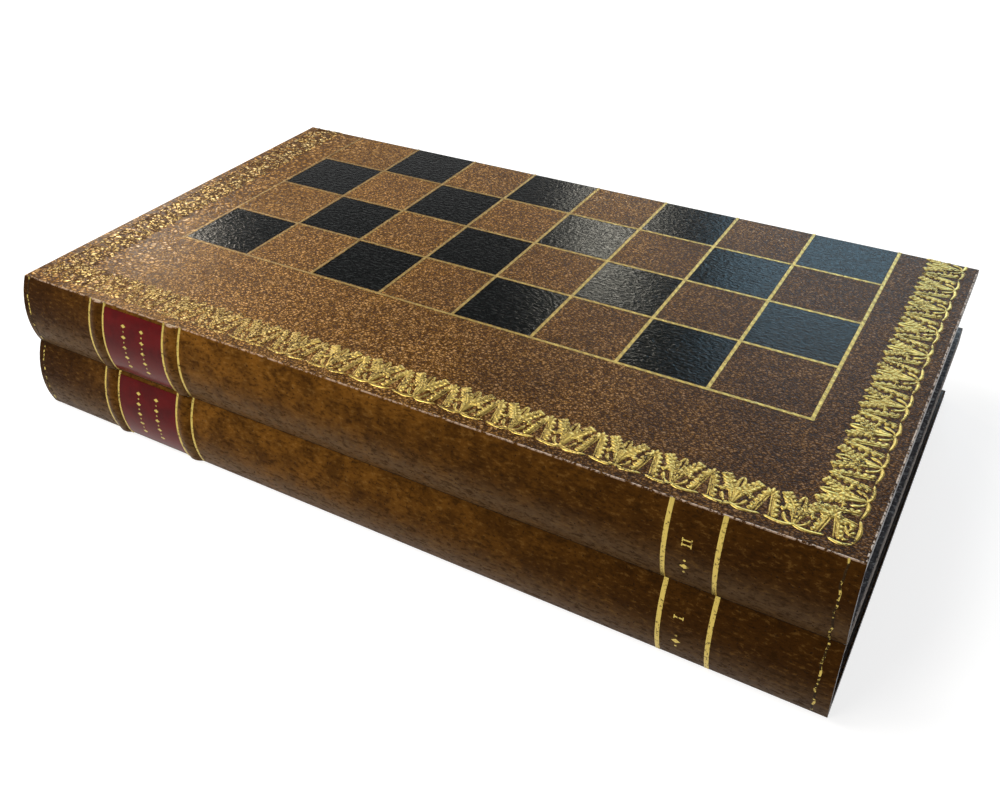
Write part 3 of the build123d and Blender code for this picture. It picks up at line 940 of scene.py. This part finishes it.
def volume_number(volume, material):
    """The number of the volume, in strokes, over a lozenge between two dots."""
    shape = bmesh.new()
    x = -HALF_LENGTH + NUMBER_FROM_LEFT + 0.5 * volume["shift"]
    half_arc = spine_arc()
    number_arc = half_arc - volume["number_below_top"]
    lift = 0.06 * MM
    for k in range(volume["strokes"]):
        arc = number_arc + (k - 0.5 * (volume["strokes"] - 1)) * 1.9 * MM
        bar(shape, volume, x, arc, 1.7 * MM, 0.28 * MM, lift)
        for side in (-1, 1):
            bar(shape, volume, x + side * 1.6 * MM, arc, 0.2 * MM, 0.8 * MM, lift + 0.01 * MM)
    sign_arc = half_arc - SIGN_BELOW_TOP
    small_tool(shape, volume, x, sign_arc, 1.7 * MM, 1.2 * MM, lift, 4)
    for side in (-1, 1):
        small_tool(shape, volume, x, sign_arc + side * 2.9 * MM, 0.5 * MM, 0.5 * MM, lift, 8)
    turn_faces(shape, FORWARDS)
    lay_piece("volume_number", shape, material, volume)


def thin_gilt_finish(colours):
    """Gold leaf nearly rubbed away."""
    finish = Finish("thin worn gold leaf", 0.03)
    height = pebble_grain(finish, 1.4 * MM)[0]
    patch = finish.noise(2.6 * MM, 3.0, 0.7)
    kept = finish.remap(patch, 0.50, 0.58)
    tone = finish.mix(kept, (0.045, 0.024, 0.009), colours.gold)
    return finish.dress(tone, 0.4, finish.times(kept, 0.9),
                        finish.bump(height, 0.08 * MM))


def spine_gilt_finish(colours):
    """Gold leaf on the spines and labels, a little dull."""
    finish = Finish("spine gold leaf", 0.1)
    speck = finish.noise(1.1 * MM, 4.0, 0.7)
    kept = finish.remap(speck, 0.36, 0.46)
    tone = finish.mix(kept, (0.10, 0.06, 0.02), colours.gold)
    return finish.dress(tone, finish.remap(kept, 0.0, 1.0, 0.55, 0.32),
                        finish.remap(kept, 0.0, 1.0, 0.3, 0.9),
                        finish.bump(speck, 0.05 * MM))


# Dressing of the frame's own pieces

def dress_nodes(endings, material):
    for name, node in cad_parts.items():
        if any(name.endswith(ending) for ending in endings):
            node.data.materials.clear()
            node.data.materials.append(material)


class DressingStep:
    """What every step that dresses the chess board shares."""

    bl_options = {"REGISTER", "UNDO"}

    def colours(self, context):
        return context.scene.chess_box_colours


class CHESSBOX_OT_leather(DressingStep, bpy.types.Operator):
    """Finish the leather of the covers, spines and rims"""

    bl_idname = "chessbox.leather"
    bl_label = "Leather"

    def execute(self, context):
        colours = self.colours(context)
        dress_nodes(["cover_leather"], cover_leather_finish(colours))
        dress_nodes(["spine_leather"], spine_leather_finish(colours))
        dress_nodes(["rim_leather", "fore_edge_leather"], edge_leather_finish())
        return {"FINISHED"}


class CHESSBOX_OT_onlays(DressingStep, bpy.types.Operator):
    """Finish the black leather squares"""

    bl_idname = "chessbox.onlays"
    bl_label = "Dark squares"

    def execute(self, context):
        dress_nodes(["dark_squares"], onlay_finish(self.colours(context)))
        return {"FINISHED"}


class CHESSBOX_OT_woodwork(DressingStep, bpy.types.Operator):
    """Finish the page edges, boards, walls and band cords"""

    bl_idname = "chessbox.woodwork"
    bl_label = "Page edges and wood"

    def execute(self, context):
        colours = self.colours(context)
        dress_nodes(["page_block_left", "page_block_right"], page_edge_finish(colours))
        dress_nodes(["cover_board", "spine_core", "fore_edge_block", "rim_spine",
                     "rim_right", "rim_fore_edge", "rim_left"], wood_finish(colours))
        dress_nodes(["spine_bands"], cord_finish())
        return {"FINISHED"}


class CHESSBOX_OT_trays(DressingStep, bpy.types.Operator):
    """Finish the linings and the points of the trays"""

    bl_idname = "chessbox.trays"
    bl_label = "Trays"

    def execute(self, context):
        colours = self.colours(context)
        dress_nodes(["lining"], lining_finish("tan lining leather", colours.tray))
        dress_nodes(["points_red"], lining_finish("red point leather", colours.point_red))
        dress_nodes(["points_black"], lining_finish("black point leather", colours.onlay))
        return {"FINISHED"}


class CHESSBOX_OT_hinges(DressingStep, bpy.types.Operator):
    """Finish the brass hinges, screws and pins"""

    bl_idname = "chessbox.hinges"
    bl_label = "Hinges"

    def execute(self, context):
        dress_nodes(["hinge_leaves", "hinge_screws", "hinge_pins"],
                    brass_finish(self.colours(context)))
        return {"FINISHED"}


class CHESSBOX_OT_labels(DressingStep, bpy.types.Operator):
    """Finish the crimson labels and tool them with lozenges and dots"""

    bl_idname = "chessbox.labels"
    bl_label = "Labels"

    def execute(self, context):
        colours = self.colours(context)
        dress_nodes(["title_label"], label_finish(colours))
        gilt = spine_gilt_finish(colours)
        for volume in VOLUMES:
            label_tooling(volume, gilt)
        return {"FINISHED"}


class CHESSBOX_OT_chequer(DressingStep, bpy.types.Operator):
    """Lay the gilt lines between the squares"""

    bl_idname = "chessbox.chequer"
    bl_label = "Chequer lines"

    def execute(self, context):
        gilt = line_finish(self.colours(context))
        for volume in VOLUMES:
            chequer_lines(volume, gilt)
        return {"FINISHED"}


class CHESSBOX_OT_border(DressingStep, bpy.types.Operator):
    """Roll the gilt leaf border round three sides of each cover"""

    bl_idname = "chessbox.border"
    bl_label = "Gilt border"

    def execute(self, context):
        gilt = gilt_finish(self.colours(context))
        for volume in VOLUMES:
            gilt_border(volume, gilt)
        return {"FINISHED"}


class CHESSBOX_OT_spines(DressingStep, bpy.types.Operator):
    """Tool the spines with lines and the number of each volume"""

    bl_idname = "chessbox.spines"
    bl_label = "Spine tooling"

    def execute(self, context):
        colours = self.colours(context)
        gilt = spine_gilt_finish(colours)
        worn = thin_gilt_finish(colours)
        for volume in VOLUMES:
            spine_lines(volume, gilt, worn)
            volume_number(volume, gilt)
        return {"FINISHED"}


# Stage

CAMERA_PLACE = Vector((205.1, -378.2, 299.5)) * MM
CAMERA_TURN = (58.396, 0.863, 31.209)
CAMERA_LENS = 38.57
CAMERA_SHIFT = (0.0572, -0.0604)


# Name, place, size, power and colour of each lamp; all look at LAMPS_AIM
LAMPS_AIM = (0, 0, 0.05)
LAMPS = (
    ("key", (-0.42, -0.22, 1.0), (0.6, 0.6), 8.5, (1.0, 0.97, 0.92)),
    ("fill", (-0.5, -1.2, 0.95), (0.6, 0.5), 7.0, (1.0, 0.97, 0.93)),
    ("window", (-0.02, 1.28, 0.63), (0.45, 0.24), 2.3, (0.46, 0.77, 1.0)),
    ("sky", (0.06, 1.12, 0.98), (0.5, 0.4), 2.0, (1.0, 0.97, 0.93)),
    ("lamp", (-0.42, 1.20, 0.65), (0.12, 0.18), 1.1, (1.0, 0.95, 0.80)),
    ("glint", (-1.06, 0.73, 0.63), (0.16, 0.14), 2.6, (1.0, 0.9, 0.75)),
)
FLOOR_RADIUS = 6.0
FLOOR_BELOW = 0.2 * MM
WALL_HEIGHT = 2.3
FLOOR_COLOUR = (0.45, 0.45, 0.45, 1)
WORLD_COLOUR = (0.11, 0.11, 0.115, 1)


def soft_lamp(name, place, size, power, colour):
    lamp = bpy.data.lights.new(name, "AREA")
    lamp.shape = "RECTANGLE"
    lamp.size = size[0]
    lamp.size_y = size[1]
    lamp.energy = power
    lamp.color = colour
    holder = new_object(name, lamp)
    direction = Vector(LAMPS_AIM) - Vector(place)
    holder.rotation_euler = direction.to_track_quat("-Z", "Y").to_euler()
    holder.location = place


def pale_floor():
    """A wide white floor with a low white wall, which keep the box's shadow."""
    shape = bmesh.new()
    bmesh.ops.create_circle(shape, cap_ends=True, segments=96, radius=FLOOR_RADIUS,
                            matrix=Matrix.Translation((0, 0, -FLOOR_BELOW)))
    edges = [edge for edge in shape.edges if edge.is_boundary]
    wall = bmesh.ops.extrude_edge_only(shape, edges=edges)
    crest_highlight = [item for item in wall["geom"] if isinstance(item, bmesh.types.BMVert)]
    bmesh.ops.translate(shape, verts=crest_highlight, vec=(0, 0, WALL_HEIGHT))
    bmesh.ops.recalc_face_normals(shape, faces=shape.faces)
    floor = new_object("floor", mesh_of(shape, "floor"))
    finish = Finish("white floor", 0.0, {
        "Base Color": FLOOR_COLOUR, "Roughness": 0.9, "Emission Color": (1, 1, 1, 1)})
    # A little below white round the box, so that its shadow shows
    distance = finish.add("ShaderNodeVectorMath", {0: finish.place},
                          operation="LENGTH").outputs["Value"]
    strength = finish.add("ShaderNodeMapRange", {
        "Value": distance, "From Min": 0.5, "From Max": 1.5,
        "To Min": 0.8, "To Max": 1.0}).outputs["Result"]
    glow = finish.times(seen_directly(finish), strength)
    finish.put(finish.shader.inputs["Emission Strength"], glow)
    floor.data.materials.append(finish.material)


def seen_directly(finish):
    """1 for rays from the camera, off gloss or through glass, otherwise 0."""
    rays = finish.add("ShaderNodeLightPath").outputs
    total = rays["Is Camera Ray"]
    for name in ("Is Glossy Ray", "Is Transmission Ray"):
        total = finish.math("MAXIMUM", total, rays[name])
    return total


def studio_world():
    """An even grey surround that fills the shadows."""
    world = bpy.data.worlds.new("studio")
    world.use_nodes = True
    world.node_tree.nodes["Background"].inputs["Color"].default_value = WORLD_COLOUR
    bpy.context.scene.world = world


class CHESSBOX_OT_stage(DressingStep, bpy.types.Operator):
    """Set the floor, the soft light and the camera"""

    bl_idname = "chessbox.stage"
    bl_label = "Stage"

    def execute(self, context):
        pale_floor()
        studio_world()
        for lamp in LAMPS:
            soft_lamp(*lamp)
        camera = bpy.data.cameras.new("camera")
        camera.lens = CAMERA_LENS
        camera.shift_x, camera.shift_y = CAMERA_SHIFT
        camera.clip_start = 0.01
        holder = new_object("camera", camera)
        holder.location = CAMERA_PLACE
        holder.rotation_euler = [math.radians(angle) for angle in CAMERA_TURN]
        context.scene.camera = holder
        context.scene.view_settings.view_transform = "Standard"
        return {"FINISHED"}


class CHESSBOX_PT_panel(bpy.types.Panel):
    """Lists the steps that dress the chess board"""

    bl_label = "Chess board"
    bl_idname = "CHESSBOX_PT_panel"
    bl_space_type = "VIEW_3D"
    bl_region_type = "UI"
    bl_category = "Chess board"

    def draw(self, context):
        for operator in OPERATORS:
            self.layout.operator(operator.bl_idname)
        for group in (context.scene.chess_box_sizes, context.scene.chess_box_colours):
            box = self.layout.box()
            for name in group.__annotations__:
                box.prop(group, name)


OPERATORS = (
    CHESSBOX_OT_leather,
    CHESSBOX_OT_onlays,
    CHESSBOX_OT_woodwork,
    CHESSBOX_OT_trays,
    CHESSBOX_OT_hinges,
    CHESSBOX_OT_labels,
    CHESSBOX_OT_chequer,
    CHESSBOX_OT_border,
    CHESSBOX_OT_spines,
    CHESSBOX_OT_stage,
)
CLASSES = (ChessBoxSizes, ChessBoxColours) + OPERATORS + (CHESSBOX_PT_panel,)


def register():
    for cls in CLASSES:
        bpy.utils.register_class(cls)
    bpy.types.Scene.chess_box_sizes = bpy.props.PointerProperty(type=ChessBoxSizes)
    bpy.types.Scene.chess_box_colours = bpy.props.PointerProperty(type=ChessBoxColours)


def unregister():
    del bpy.types.Scene.chess_box_colours
    del bpy.types.Scene.chess_box_sizes
    for cls in reversed(CLASSES):
        bpy.utils.unregister_class(cls)


def main():
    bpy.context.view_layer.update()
    register()
    for operator in OPERATORS:
        family, name = operator.bl_idname.split(".")
        getattr(getattr(bpy.ops, family), name)()


if __name__ == "__main__":
    main()
